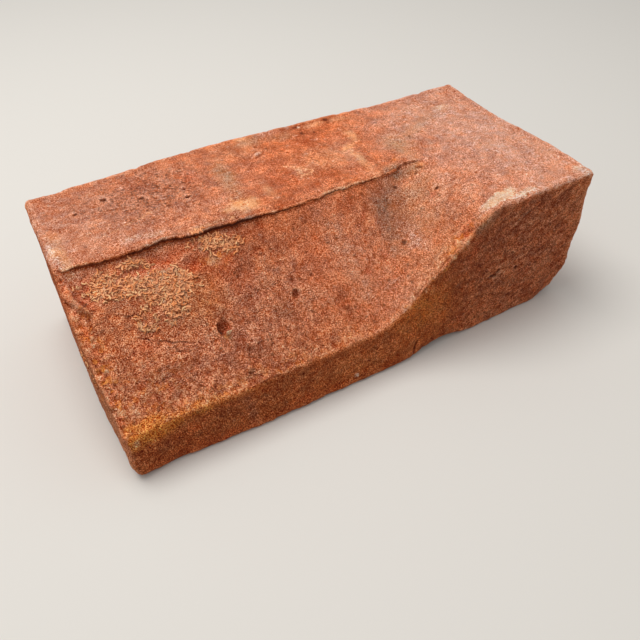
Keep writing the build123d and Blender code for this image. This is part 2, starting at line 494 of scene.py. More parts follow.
class StageLook(bpy.types.PropertyGroup):
    """Floor, lamps and background."""

    floor: colour("Floor", "Floor as the camera sees it", (222, 219, 214))
    bounce: colour("Bounce", "Floor as it lights the brick", (130, 112, 92))
    key_power: number("Key", "Power of the overhead lamp", 4.45, "POWER")
    sky_strength: number("Sky", "Strength of the even light all round", 0.53)


# Camera found by fitting the brick's straight edges
CAMERA_AZIMUTH = math.radians(-30.37)
CAMERA_ELEVATION = math.radians(43.10)
CAMERA_ROLL = math.radians(-0.28)
CAMERA_DISTANCE = 0.3401
CAMERA_TARGET = Vector((0.0013, 0.0, -0.0130))
CAMERA_LENS = 38.47
CAMERA_SENSOR = 36.0
CAMERA_NEAREST = 0.01

# One broad lamp overhead, behind the brick and to its left, and a nearly white sky
LAMP_PLACE = Vector((-0.19, 0.17, 0.80))
LAMP_TARGET = Vector((0.0, 0.0, 0.03))
LAMP_SIZE = 0.55
LAMP_TINT = (1.0, 0.98, 0.95)
SKY_TINT = (1.0, 0.99, 0.97, 1.0)
FLOOR_REACH = 3.0


class Value:
    """A number, vector or colour that a node gives, so that a pattern reads as a formula."""

    def __init__(self, kit, socket):
        self.kit = kit
        self.socket = socket

    def __add__(self, other):
        return self.kit.math("ADD", self, other)

    def __sub__(self, other):
        return self.kit.math("SUBTRACT", self, other)

    def __rsub__(self, other):
        return self.kit.math("SUBTRACT", other, self)

    def __mul__(self, other):
        return self.kit.math("MULTIPLY", self, other)

    def __abs__(self):
        return self.kit.math("ABSOLUTE", self)

    __radd__ = __add__
    __rmul__ = __mul__


class Tree:
    """Adds nodes to a shader or geometry tree."""

    def __init__(self, tree):
        self.tree = tree
        tree.nodes.clear()

    def node(self, kind, inputs=None, **settings):
        """A new node, with its settings made first and then its inputs fed."""
        made = self.tree.nodes.new(kind)
        for name, setting in settings.items():
            setattr(made, name, setting)
        for key, fed in (inputs or {}).items():
            self.feed(self.socket(made.inputs, key), fed)
        return made

    def value(self, kind, inputs=None, key=0, **settings):
        """What a new node gives at the output of that number or name."""
        return Value(self, self.socket(self.node(kind, inputs, **settings).outputs, key))

    def values(self, kind, inputs):
        """What a new node gives at each of its outputs."""
        return [Value(self, socket) for socket in self.node(kind, inputs).outputs]

    def socket(self, sockets, key):
        """The socket of that number, or the one in use of that name."""
        if isinstance(key, int):
            return sockets[key]
        return next(s for s in sockets if s.name == key and s.enabled)

    def feed(self, socket, fed):
        if isinstance(fed, Value):
            fed = fed.socket
        if isinstance(fed, bpy.types.NodeSocket):
            self.tree.links.new(fed, socket)
        else:
            socket.default_value = fed

    def math(self, operation, *values):
        return self.value("ShaderNodeMath", dict(enumerate(values)), operation=operation)

    def most(self, *values):
        """The greatest of the values."""
        most = values[0]
        for value in values[1:]:
            most = self.math("MAXIMUM", most, value)
        return most

    def vector(self, operation, a, b):
        return self.value("ShaderNodeVectorMath", {0: a, 1: b}, operation=operation)

    def dot(self, a, b):
        return self.value("ShaderNodeVectorMath", {0: a, 1: b}, "Value", operation="DOT_PRODUCT")

    def scaled(self, a, factor):
        return self.value("ShaderNodeVectorMath", {0: a, "Scale": factor}, operation="SCALE")

    def joined(self, x, y, z):
        return self.value("ShaderNodeCombineXYZ", {0: x, 1: y, 2: z})

    def dragged(self, place, squeeze):
        """The place with X laid along the drag lines, and the rest squeezed across them."""
        cosine, sine = math.cos(DRAG_RISE), math.sin(DRAG_RISE)
        along = self.dot(place, (cosine, 0, sine))
        deep = self.dot(place, (0, squeeze, 0))
        across = self.dot(place, (-sine * squeeze, 0, cosine * squeeze))
        return self.joined(along, deep, across)

    def ramp(self, value, low, high, start=0.0, end=1.0):
        """Goes smoothly from the start to the end while the value goes from low to high."""
        inputs = {"Value": value, "From Min": low, "From Max": high, "To Min": start, "To Max": end}
        return self.value("ShaderNodeMapRange", inputs, interpolation_type="SMOOTHSTEP")

    def noise(self, at, size, detail=2.0, roughness=0.5, w=0.0, distortion=0.0, key=0):
        """A pattern from 0 to 1 in cells of that size: one number, or three for a key of 1."""
        inputs = {
            "Vector": at, "W": w, "Scale": 1 / size, "Detail": detail, "Roughness": roughness,
            "Distortion": distortion,
        }
        return self.value("ShaderNodeTexNoise", inputs, key, noise_dimensions="4D")

    def centred(self, *pattern):
        """A noise that varies about nothing, mostly within 0.25 of it."""
        return self.noise(*pattern) - 0.5

    def shaken(self, place, size, reach, w=0.0):
        """The place moved at random, by up to the reach along each axis."""
        return self.vector("ADD", place, self.scaled(self.noise(place, size, w=w, key=1), reach))

    def cells(self, at, size):
        """How far off the nearest of many scattered points is, and a random colour of its own."""
        return self.values("ShaderNodeTexVoronoi", {"Vector": at, "Scale": 1 / size})[:2]

    def channels(self, colour):
        return self.values("ShaderNodeSeparateColor", {0: colour})[:3]

    def blend(self, factor, a, b, mode="MIX"):
        inputs = {0: factor, 6: a, 7: b}
        return self.value("ShaderNodeMix", inputs, 2, data_type="RGBA", blend_type=mode)

    def marked(self, geometry, name, value, domain="POINT"):
        """The geometry with a value stored on it."""
        marks = {"Geometry": geometry, "Name": name, "Value": value}
        return self.value("GeometryNodeStoreNamedAttribute", marks, domain=domain)


def smooth(share):
    """Eases a share from 0 to 1."""
    share = np.clip(share, 0, 1)
    return share * share * (3 - 2 * share)


def fade(distance, reach):
    """1 at no distance, falling smoothly to 0 at the reach."""
    return smooth(1 - np.abs(distance) / reach)


def feature_points(mesh):
    """The mesh's vertices, in millimetres from the left end, front face and lower bed."""
    flat = np.empty(len(mesh.vertices) * 3, np.float32)
    mesh.vertices.foreach_get("co", flat)
    return (flat.reshape(-1, 3).astype(float) - CORNER) / MM


def set_feature_points(mesh, points):
    mesh.vertices.foreach_set("co", (points * MM + CORNER).astype(np.float32).ravel())
    mesh.update()


def vertex_normals(mesh):
    flat = np.empty(len(mesh.vertices) * 3, np.float32)
    mesh.vertex_normals.foreach_get("vector", flat)
    return flat.reshape(-1, 3).astype(float)


def ellipses(faces):
    """Each ellipse of a table: its face, centre, radii and turn, and how deep or strong it is."""
    for face, rows in faces.items():
        for first, second, wide, tall, turn, amount in rows:
            yield face, (first, second), (wide, tall), turn, amount


def ellipse_distance(points, face, centre, radii, turn):
    """How many radii each point lies from an ellipse's centre, seen square to its face."""
    first, second = FACES[face][0]
    across = points[:, first] - centre[0]
    up = points[:, second] - centre[1]
    cosine, sine = math.cos(math.radians(turn)), math.sin(math.radians(turn))
    along = (across * cosine + up * sine) / radii[0]
    return np.hypot(along, (up * cosine - across * sine) / radii[1])


def facing(normals, face):
    """1 where the surface looks the face's way, 0 where it looks elsewhere."""
    direction, (low, high) = FACES[face][1:]
    return smooth((normals @ np.array(direction, float) - low) / (high - low))


def swirl(points, step):
    """A smooth random vector at each point."""
    return np.array([noise.noise_vector(Vector(p)) for p in points / step])


def wobble(values, step, seed):
    """A smooth random number, about -0.6 to 0.6, at each value along a line."""
    margin = 20
    table = np.arange(-margin, LENGTH + margin, step / 8)
    heights = [noise.noise(Vector((v / step, seed * 3.7, step))) for v in table]
    return np.interp(values, table, heights)


def along_lip(table, across):
    """What a table of the lip says at each place along the length."""
    places, values = np.array(table, float).T
    return np.interp(across, places, values)


def store(mesh, name, values):
    layer = mesh.attributes.new(name, "FLOAT", "POINT")
    layer.data.foreach_set("value", np.asarray(values, np.float32))


def tear_lip(mesh, points, seed):
    """Pulls the straight lip of the solid into a torn one, curls it and hollows under it."""
    across, back, up = points.T.copy()
    there = fade(np.maximum(across - LIP_END + LIP_EASE, 0), LIP_TAPER)
    upper = np.clip((up - NIB_HEIGHT) / 12, 0, 1) * there
    drop = HEIGHT - up
    shift = along_lip(LIP_LINE, across) + 1.1 * wobble(across, 9.0, seed)
    ragged = 0.6 * wobble(across, 5.3, seed) + 0.5 * wobble(across, 2.9, seed)
    ragged += 0.45 * wobble(across, 1.3, seed)
    near = fade(back - LIP_FRONT, 2.5) * fade(np.maximum(drop - LIP_THICKNESS, 0), 2.0)
    points[:, 1] += (shift * fade(back - LIP_FRONT, 13) + ragged * near) * upper
    offset = points[:, 1] - LIP_FRONT - shift - ragged * near
    top = up > LIP_UNDERSIDE
    curl = along_lip(LIP_CURL, across) + 0.4 * wobble(across, 7.0, seed + 1)
    points[:, 2] += np.where(top, curl * fade(offset, 3.0), 0) * upper
    below = np.where(top, 0, fade(offset - 1, 5.0)) * upper
    hollow = along_lip(LIP_HOLLOW, across) + 0.3 * wobble(across, 5.0, seed + 2)
    points += np.outer(below * hollow, INTO_SPLAY)
    store(mesh, "lip_offset", offset)
    store(mesh, "lip_drop", drop)
    store(mesh, "lip_shadow_strength", along_lip(LIP_SHADOW_STRENGTH, across))
    store(mesh, "lip", there * (up > LIP_FOOT) * fade(back - LIP_FRONT, 12))


def sculpt(mesh, normals, seed):
    """Shoves, dents and tears the plain solid's surface into the shape of the worn brick."""
    points = feature_points(mesh)
    tear_lip(mesh, points, seed)
    for face, centre, radii, turn, depth in ellipses(DENTS):
        away = ellipse_distance(points, face, centre, radii, turn)
        push = depth * fade(away, DENT_REACH) * facing(normals, face)
        points -= normals * push[:, None]
    for shove in SHOVES:
        away = np.abs(points - np.array(shove.centre))
        weight = np.prod([fade(away[:, i], shove.reach[i]) for i in range(3)], axis=0)
        points += np.outer(weight, shove.shift)
    set_feature_points(mesh, points)


def line_fields(points, lines):
    """Signed distance in millimetres to the nearest of the lines, and how strong that one is there."""
    flat = points[:, :2]
    nearest = np.full(len(points), LINE_REACH)
    opening = np.zeros(len(points))
    for line in lines:
        spots = np.array(line.points, float)
        lengths = np.linalg.norm(np.diff(spots, axis=0), axis=1)
        run = 0.0
        for start, end, length in zip(spots[:-1], spots[1:], lengths):
            along = (end - start) / length
            offset = flat - start
            reached = np.clip(offset @ along, 0, length)
            distance = np.linalg.norm(offset - np.outer(reached, along), axis=1)
            side = np.sign(offset @ np.array((-along[1], along[0])))
            closer = distance < np.abs(nearest)
            nearest = np.where(closer, distance * side, nearest)
            share = (run + reached) / lengths.sum()
            taper = np.clip(4 * share * (1 - share), 0, 1)
            opening = np.where(closer, taper * line.strength, opening)
            run += length
    return nearest, opening


def stain(mesh, normals):
    """Writes how strong each finish is at each vertex, and returns how fine the mesh must stay."""
    points = feature_points(mesh)
    drift = swirl(points, 9.0) + 0.6 * swirl(points, 3.5)
    faced = {face: facing(normals, face) for face in FACES}
    finishes = {}
    for finish, faces in BLOTCHES.items():
        strongest = np.zeros(len(points))
        for face, centre, radii, turn, strength in ellipses(faces):
            spread = points + drift * min(3.0, 0.5 * min(radii))
            away = ellipse_distance(spread, face, centre, radii, turn)
            strongest = np.maximum(strongest, strength * fade(away, BLOTCH_REACH) * faced[face])
        finishes[finish] = strongest
        store(mesh, finish, strongest)
    bent = points + 0.8 * swirl(points, 4.0)
    distance, opening = line_fields(bent, CREASES)
    vein, strength = line_fields(bent, VEINS)
    opening *= faced["upper"]
    strength *= faced["upper"]
    store(mesh, "crease", distance)
    store(mesh, "crease_open", opening)
    store(mesh, "vein", vein)
    store(mesh, "vein_strength", strength)
    detail = np.full(len(points), PLAIN_DETAIL)
    for face, extra in FACE_DETAIL.items():
        detail += extra * faced[face]
    near_lip = fade(points[:, 1] - LIP_FRONT, 7) * (points[:, 2] > LIP_FOOT)
    near_lip = near_lip * (points[:, 0] < LIP_END + LIP_EASE)
    busy = np.maximum(finishes["crust"], finishes["crumble"])
    busy = np.maximum(busy, fade(distance, 3) * opening)
    busy = np.maximum(busy, fade(vein, 2) * strength)
    return np.maximum(detail, np.maximum(1.5 * near_lip, 1.2 * busy)).clip(0, 1)


def weigh(thing, name, weights):
    """Puts a value from 0 to 1 for each vertex into a vertex group."""
    group = thing.vertex_groups.new(name=name)
    steps = np.rint(weights * WEIGHT_STEPS).astype(int)
    for step in range(1, WEIGHT_STEPS + 1):
        group.add(np.nonzero(steps == step)[0].tolist(), step / WEIGHT_STEPS, "REPLACE")


def geometry_tree(name, numbers):
    """An empty geometry tree with named inputs, its maker, and what its inputs are given."""
    tree = bpy.data.node_groups.new(name, "GeometryNodeTree")
    kinds = {"Geometry": "Geometry", **dict.fromkeys(numbers, "Float"), "Material": "Material"}
    for word, kind in kinds.items():
        tree.interface.new_socket(word, in_out="INPUT", socket_type="NodeSocket" + kind)
    tree.interface.new_socket("Geometry", in_out="OUTPUT", socket_type="NodeSocketGeometry")
    kit = Tree(tree)
    sockets = kit.node("NodeGroupInput").outputs
    return tree, kit, {socket.name: Value(kit, socket) for socket in sockets}


def finish_tree(kit, geometry, material):
    """Ends a geometry tree: instances made real, material set."""
    whole = kit.value("GeometryNodeRealizeInstances", {0: geometry})
    painted = kit.value("GeometryNodeSetMaterial", {"Geometry": whole, "Material": material})
    kit.node("NodeGroupOutput", {0: painted})


def stored(kit, name):
    """A value that the mesh carries."""
    return kit.value("GeometryNodeInputNamedAttribute", {"Name": name})


def clay_skin_tree():
    """Geometry tree that wanders, lumps, grains, pits, crumbles and chips a clay surface."""
    sizes = ("Warp", "Lumps", "Clods", "Grain", "Drag", "Pits", "Chips", "Crumbs", "Seed")
    tree, kit, given = geometry_tree("Clay Skin", sizes)
    place = kit.value("GeometryNodeInputPosition")
    normal = kit.value("GeometryNodeInputNormal")
    torn = stored(kit, "torn")
    crumble = stored(kit, "crumble")
    seed = given["Seed"]

    def proud(iterations):
        """How far a place stands out, in metres, from what lies round it."""
        inputs = {"Value": place, "Iterations": iterations}
        level = kit.value("GeometryNodeBlurAttribute", inputs, "Value", data_type="FLOAT_VECTOR")
        return kit.dot(kit.vector("SUBTRACT", place, level), normal)

    def field(at, size, detail, roughness, offset):
        return kit.centred(at, size, detail, roughness, seed + offset)

    edge = kit.ramp(proud(10), 0.00006, 0.00016)
    pull = kit.noise(place, 0.070, w=seed, key=1)
    wander = kit.scaled(kit.vector("SUBTRACT", pull, (0.5, 0.5, 0.5)), given["Warp"] * 2.0)
    lumps = field(place, 0.016, 3.0, 0.5, 0.0) * given["Lumps"] * (torn * 0.8 + 0.4)
    grain = field(place, 0.0028, 4.0, 0.62, 1.0) * given["Grain"] * (torn * 0.9 + 0.22)
    clods = field(place, 0.0062, 2.0, 0.5, 7.0) * given["Clods"] * (torn * 0.9 + 0.1)
    lines = field(kit.dragged(place, 3.5), 0.009, 3.0, 0.6, 2.0) * given["Drag"] * stored(kit, "drag")
    spots = kit.ramp(kit.cells(place, 0.0075)[0], 0.16, 0.05)
    chosen = kit.ramp(field(place, 0.020, 2.0, 0.5, 3.0), 0.02, 0.12)
    groove = kit.ramp(abs(stored(kit, "crease")), 0.6, 0.1) * stored(kit, "crease_open") * CREASE_DEPTH
    pits = spots * chosen * given["Pits"] + groove

    # Chips are bitten out of the edges, less along the thin lip and next to the floor
    bitten = kit.ramp(field(place, 0.0045, 3.0, 0.6, 5.0), 0.02, 0.22)
    height = kit.value("ShaderNodeSeparateXYZ", {0: place}, 2)
    lower = kit.ramp(height, 0.002, 0.012, 0.25, 1.0)
    spared = 1.0 - stored(kit, "lip") * 0.7
    chips = bitten * edge * given["Chips"] * (crumble * 0.9 + 0.40) * lower * spared

    # Crumbs are domes with gaps between them
    domes = 0.5 - kit.cells(kit.shaken(place, 0.004, 0.003, seed), 0.0024)[0]
    crumbs = domes * given["Crumbs"] * crumble
    sharpness = kit.ramp(field(place, 0.012, 2.0, 0.5, 6.0), -0.1, 0.1, 0.8, 1.6)
    squared = kit.most(proud(30), 0.0) * sharpness * spared
    rise = lumps + clods + grain + lines + crumbs + squared - (pits + chips)

    # The brick is pressed flat where it would sink into the floor
    moved = kit.vector("ADD", kit.vector("ADD", place, wander), kit.scaled(normal, rise))
    x, y, z = kit.values("ShaderNodeSeparateXYZ", {0: moved})
    resting = kit.joined(x, y, kit.most(z, 0.0))
    inputs = {"Geometry": kit.marked(given["Geometry"], "edge", edge), "Position": resting}
    shaped = kit.value("GeometryNodeSetPosition", inputs)
    finish_tree(kit, kit.marked(shaped, "relief", proud(5) * (1 / MM)), given["Material"])
    return tree


def crust_cover(kit, place, crust):
    """How fully the crust covers a place: ragged at its rim, with bare gaps between its strands."""
    broad = kit.centred(place, 0.006, 3.0, 0.6, 11.0) * 1.2
    lace = kit.centred(place, 0.0018, 2.0, 0.6, 12.0) * 1.5
    return kit.ramp(crust + broad + lace, 0.42, 0.66) * kit.ramp(crust, 0.05, 0.25)


def strewn(kit, given, shape, scale_low, scale_high, density):
    """Strews copies of a shape over the mesh, each turned, sized and toned at random.

    The copies are made real, and marked with how squarely each part of them looks up and forward.
    """
    seed = kit.math("FLOOR", given["Seed"])
    inputs = {"Mesh": given["Geometry"], "Density": density, "Seed": seed}
    points = kit.node("GeometryNodeDistributePointsOnFaces", inputs, distribute_method="RANDOM")
    inputs = {"Min": (-LEAN, -LEAN, 0.0), "Max": (LEAN, LEAN, math.tau), "Seed": seed}
    spin = kit.value("FunctionNodeRandomValue", inputs, data_type="FLOAT_VECTOR")
    inputs = {0: points.outputs["Rotation"], 1: kit.value("FunctionNodeEulerToRotation", {0: spin})}
    turned = kit.value("FunctionNodeRotateRotation", inputs, rotation_space="LOCAL")
    inputs = {"Min": scale_low, "Max": scale_high, "Seed": seed + 1.0}
    sizes = kit.value("FunctionNodeRandomValue", inputs, data_type="FLOAT_VECTOR")
    inputs = {
        "Points": points.outputs["Points"], "Instance": shape, "Rotation": turned, "Scale": sizes,
    }
    laid = kit.value("GeometryNodeInstanceOnPoints", inputs)
    tone = kit.value("FunctionNodeRandomValue", {"Seed": seed + 2.0}, "Value", data_type="FLOAT")
    toned = kit.marked(laid, "tone", tone, "INSTANCE")
    whole = kit.value("GeometryNodeRealizeInstances", {0: toned})
    upright = kit.ramp(kit.dot(kit.value("GeometryNodeInputNormal"), (0.0, -0.35, 0.94)), 0.0, 0.75)
    return kit.marked(whole, "proud", upright)


def crust_tree():
    """Geometry tree that strews short bent strands where the crust lies."""
    tree, kit, given = geometry_tree("Crust Strands", ("Length", "Thickness", "Density", "Seed"))
    place = kit.value("GeometryNodeInputPosition")
    inputs = {
        "Resolution": 5, "Start Angle": 0.0, "Sweep Angle": STRAND_BEND, "Radius": given["Length"] * 0.52,
    }
    arc = kit.value("GeometryNodeCurveArc", inputs)
    along = kit.value("GeometryNodeSplineParameter", key="Factor")
    inputs = {"Curve": arc, "Radius": 0.45 + along * (1.0 - along) * 2.2}
    tapered = kit.value("GeometryNodeSetCurveRadius", inputs)
    inputs = {"Resolution": 5, "Radius": given["Thickness"] * 0.5}
    ring = kit.value("GeometryNodeCurvePrimitiveCircle", inputs)
    inputs = {"Curve": tapered, "Profile Curve": ring, "Fill Caps": True}
    strand = kit.value("GeometryNodeCurveToMesh", inputs)
    back = given["Length"] * -0.35
    inputs = {"Geometry": strand, "Translation": kit.joined(back, back, 0.0001)}
    centred = kit.value("GeometryNodeTransform", inputs)
    density = crust_cover(kit, place, stored(kit, "crust")) * given["Density"]
    strands = strewn(kit, given, centred, (0.6, 0.6, 0.8), (1.25, 1.25, 1.2), density)
    finish_tree(kit, strands, given["Material"])
    return tree


def grit_tree():
    """Geometry tree that strews grains over the torn clay, thickest where it crumbles."""
    tree, kit, given = geometry_tree("Grit", ("Size", "Density", "Seed"))
    place = kit.value("GeometryNodeInputPosition")
    inputs = {"Subdivisions": 1, "Radius": given["Size"] * 0.5}
    ball = kit.value("GeometryNodeMeshIcoSphere", inputs)
    height = kit.value("ShaderNodeSeparateXYZ", {0: place}, 2)
    clumps = kit.ramp(kit.centred(place, 0.012, 3.0, 0.6, 14.0), -0.12, 0.16, 0.25, 1.6)
    amount = stored(kit, "torn") * 0.7 + stored(kit, "crumble") * 1.2
    density = amount * clumps * given["Density"] * kit.ramp(height, 0.001, 0.003)
    grains = strewn(kit, given, ball, (0.45, 0.45, 0.35), (1.3, 1.3, 0.9), density)
    finish_tree(kit, grains, given["Material"])
    return tree


def set_inputs(modifier, values):
    """Sets a geometry tree's inputs on its modifier by their sockets' identifiers."""
    for item in modifier.node_group.interface.items_tree:
        if item.in_out == "INPUT" and item.name in values:
            modifier[item.identifier] = values[item.name]


def new_object(name, mesh):
    made = bpy.data.objects.new(name, mesh)
    bpy.context.scene.collection.objects.link(made)
    return made


def baked(source, name):
    """A plain mesh object of what the source's modifiers give, and the source is removed."""
    bpy.context.view_layer.update()
    graph = bpy.context.evaluated_depsgraph_get()
    mesh = bpy.data.meshes.new_from_object(source.evaluated_get(graph), depsgraph=graph)
    mesh.name = name
    mesh.polygons.foreach_set("use_smooth", [True] * len(mesh.polygons))
    bpy.data.objects.remove(source)
    return new_object(name, mesh)


def merged_copy(node):
    """A copy of a CAD node's mesh with its loose triangles joined."""
    work = bmesh.new()
    work.from_mesh(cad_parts[node].data)
    bmesh.ops.remove_doubles(work, verts=work.verts, dist=JOIN_DISTANCE)
    mesh = bpy.data.meshes.new(node + "_copy")
    work.to_mesh(mesh)
    work.free()
    mesh.materials.clear()
    return mesh


def new_material(name):
    material = bpy.data.materials.new(name)
    material.use_nodes = True
    return material, Tree(material.node_tree)


def carried(kit, name):
    """A value that the mesh carries, in a material."""
    return kit.value("ShaderNodeAttribute", None, "Fac", attribute_name=name, attribute_type="GEOMETRY")


def finish_material(kit, body, shades, roughness, height, strength, distance):
    """Ends a material: the body's colour times a shade for each channel, and its bump."""
    tint = kit.value("ShaderNodeCombineColor", dict(enumerate(shades)))
    shown = kit.blend(1.0, body, tint, "MULTIPLY")
    inputs = {"Strength": strength, "Distance": distance, "Height": height}
    bump = kit.value("ShaderNodeBump", inputs)
    look = {"Base Color": shown, "Roughness": roughness, "Specular IOR Level": CLAY_SHINE, "Normal": bump}
    shader = kit.value("ShaderNodeBsdfPrincipled", look)
    kit.node("ShaderNodeOutputMaterial", {"Surface": shader})


def clay_material(colours):
    """Fired clay: mottled, pored and stained where the body's finish attributes say so."""
    material, kit = new_material("Fired clay")
    place = kit.value("ShaderNodeTexCoord", key="Object")
    amount = {name: carried(kit, name) for name in (*BLOTCHES, *MEASURES)}

    def rgb(name):
        return (*getattr(colours, name), 1.0)

    # Noises from the size of a hand to the size of a sand grain
    broad = kit.centred(place, 0.045, 3.0, 0.5, 0.0)
    patch = kit.centred(place, 0.011, 4.0, 0.6, 1.0)
    clod = kit.centred(place, 0.0055, 2.0, 0.5, 3.0)
    grit = kit.centred(place, 0.0026, 3.0, 0.6, 2.0)
    speck = kit.centred(place, 0.0009, 2.0, 0.6, 4.0)
    sand = kit.centred(place, 0.00040, 1.0, 0.6, 5.0)
    hue = kit.centred(place, 0.0036, 3.0, 0.6, 7.0)
    shaken = kit.shaken(place, 0.0022, 0.0014)
    rough = amount["torn"] * 0.36 + 0.72
    relief = kit.ramp(amount["relief"], -0.16, 0.16, -0.5, 0.5)
    mottle = 1.0 + patch * 1.5 + grit * 1.1 + speck * 0.7
    flecks = patch * 0.7 + grit + speck * 0.8

    def veiled(finish, strength):
        """A finish that thins out gently and is thick and thin in places."""
        return amount[finish] * mottle * strength

    def patched(finish, raggedness, softness):
        """A finish whose outline breaks up into flecks."""
        field = amount[finish] + flecks * raggedness
        return kit.ramp(field, 0.5 - softness, 0.5 + softness) * kit.ramp(amount[finish], 0.0, 0.15)

    def spotted(at, size, channel, outline, odds):
        """Round spots, in those of many cells whose random colour is high enough in that channel."""
        distance, random_colour = kit.cells(at, size)
        return kit.ramp(distance, *outline) * kit.ramp(kit.channels(random_colour)[channel], *odds)

    # Finishes from the clay itself out to what lies on it
    # The tone is painted a little paler where the clay stands proud, as painted highlight, and darker
    # where it lies deep, as painted shade
    tone = broad * 0.9 + patch * 1.2 + clod + grit * 0.5 + speck * 0.3 + relief * 0.25
    clay = kit.blend(kit.ramp(tone, -0.36, 0.36), rgb("umber"), rgb("clay"))
    clay = kit.blend(amount["raw"], clay, rgb("raw"), "MULTIPLY")
    chance = kit.ramp(grit + patch * 0.5, -0.04, 0.14)
    worn = amount["edge"] * chance * (1.0 - amount["lip"]) * 0.45
    clay = kit.blend(kit.most(veiled("tan", 0.9), worn), clay, rgb("tan"))
    glow = kit.centred(place, 0.007, 3.0, 0.6, 9.0) + grit * 0.4
    scuffed = kit.ramp(glow, 0.03, 0.22) * rough * 0.38
    clay = kit.blend(kit.most(veiled("fresh", 0.85), scuffed), clay, rgb("fresh"))
    stained = kit.most(veiled("ochre", 0.75), patched("ochre", 1.0, 0.25) * 0.9)
    clay = kit.blend(stained, clay, rgb("ochre"))
    for finish, strength in (("dust", 0.95), ("olive", 0.80), ("mauve", 0.85)):
        clay = kit.blend(veiled(finish, strength), clay, rgb(finish))
    amber = patched("amber", 0.5, 0.45)
    clay = kit.blend(amber * 0.95, clay, rgb("amber"))
    clay = kit.blend(patched("peach", 0.8, 0.38) * 0.92, clay, rgb("peach"))
    smear = kit.centred(kit.dragged(place, 3.0), 0.006, 3.0, 0.6, 17.0) + speck * 0.3
    smooth_clay = 1.0 - kit.most(amount["torn"], amount["raw"])
    clay = kit.blend(kit.ramp(smear, 0.1, 0.26) * smooth_clay * 0.38, clay, rgb("peach"))

    # Cream, orange and pink flecks on the crumbling edges, partly painted highlights on the crumbs
    fleck = kit.channels(kit.cells(shaken, 0.0019)[1])
    fleck_tone = kit.blend(kit.ramp(fleck[0], 0.30, 0.70), rgb("ochre"), rgb("amber"))
    flecked = kit.ramp(fleck[1] + speck * 1.6, 0.52, 0.64) * amount["flecks"]
    clay = kit.blend(flecked * 0.95, clay, fleck_tone)

    # Fine pale lines
    vein = kit.ramp(abs(amount["vein"] + speck * 1.6), 0.85, 0.15)
    vein = vein * kit.ramp(amount["vein_strength"] + grit * 1.6, 0.1, 0.9)
    clay = kit.blend(vein * 0.8, clay, rgb("amber"))

    # Sandy skin that the strands of crust stand on, with dark slots in it where it is thin, painted partly
    # as the shade between the strands
    cover = crust_cover(kit, place, amount["crust"])
    slots = kit.centred(place, 0.0009, 2.0, 0.55, 16.0, 0.9) + amount["crust"] * 0.06
    sound = kit.ramp(slots, -0.08, 0.04)
    hollow = kit.blend(0.60, rgb("fresh"), rgb("pore_shade"))
    clay = kit.blend(cover * 0.92, clay, kit.blend(sound, hollow, rgb("amber")))

    # Painted shade in pores, gaps between grains, cracks and pits, and sooty specks
    holes = spotted(shaken, 0.0036, 1, (0.26, 0.12), (0.66, 0.72))
    ridges = abs(kit.centred(place, 0.004, 2.0, 0.5, 8.0, 1.0))
    cracks = kit.ramp(ridges, 0.022, 0.004) * kit.ramp(patch, 0.01, 0.1) * amount["torn"]
    pores = kit.most(holes, cracks) * rough
    # Painted shade in the pits and the slot, and sooty specks, as dots and speckled patches
    dotted = spotted(shaken, 0.0032, 0, (0.3, 0.16), (0.52, 0.6))
    speckled_pit_shade = kit.ramp(amount["pit_shade_and_soot"] + speck * 2.4 + sand * 1.6, 0.42, 0.7)
    pit_shade_and_soot = kit.most(speckled_pit_shade, dotted * kit.ramp(amount["pit_shade_and_soot"], 0.08, 0.3) * 0.8)
    open_line = kit.ramp(amount["crease_open"] + grit * 2.0 + speck * 1.6, 0.15, 0.85)
    line = kit.ramp(abs(amount["crease"] + speck * 0.9), 0.38, 0.08) * open_line

    # Painted shadow in the gap under the lip, and the lip's rim, painted paler as a highlight and
    # grey-purple where the painted shadow is strongest
    drop = amount["lip_drop"] + speck + grit * 0.8
    # Painted shadow: the gap under the lip is painted dark
    painted_lip_shadow = kit.ramp(drop, 0.5, 0.8) * kit.ramp(drop, 2.1, 1.5) * amount["lip"] * amount["lip_shadow_strength"]
    painted_lip_shadow = painted_lip_shadow * kit.ramp(abs(amount["lip_offset"]), 2.0, 1.5)
    # Painted highlight: the lip's rim is painted pale amber, and grey-purple where the painted shadow
    # below it is strongest
    rim = kit.ramp(abs(amount["lip_offset"] + grit * 2.4), 1.1, 0.4) * kit.ramp(drop, 1.1, 0.8)
    rim = rim * amount["lip"] * kit.ramp(patch, -0.06, 0.14)
    rim_tone = kit.blend(kit.ramp(amount["lip_shadow_strength"], 0.76, 0.96), rgb("amber"), rgb("mauve"))
    clay = kit.blend(rim * 0.75, clay, rim_tone)
    # Painted shade: pores, pit shade, crack lines and the lip's gap are all painted dark
    dark = kit.most(pores * 0.5, pit_shade_and_soot * 0.8, line * 0.7, painted_lip_shadow * 0.92)
    clay = kit.blend(dark, clay, rgb("pore_shade"))

    # Pale grains of sand
    grains = spotted(place, 0.0024, 2, (0.26, 0.14), (0.88, 0.92))
    clay = kit.blend(grains * amount["torn"] * 0.4, clay, rgb("tan"))

    # Painted highlight and shade: what stands proud is painted paler, and what lies deep darker and
    # redder. The clay's hue wanders too.
    streaks = kit.centred(kit.dragged(place, 4.5), 0.007, 4.0, 0.65, 6.0) * amount["drag"]
    fine = (sand * 6.6 + speck * 0.5) * rough * (1.0 + amount["raw"] * 0.3)
    fine = fine * kit.ramp(amount["peach"], 0.3, 1.0, 1.0, 0.4)
    fine = fine * (1.0 - kit.most(cover * 0.65, kit.most(amber, flecked) * 0.55)) * (1.0 - dark * 0.5)
    light = streaks * 1.7 + relief * 0.4 + clod * 0.45 + fine
    shades = []
    for gain, swing in ((0.31, 0.20), (0.62, -0.11), (0.90, -0.55)):
        level = 1.0 + light * gain + hue * swing
        shades.append(kit.math("POWER", kit.most(level, 0.15), 2.2))

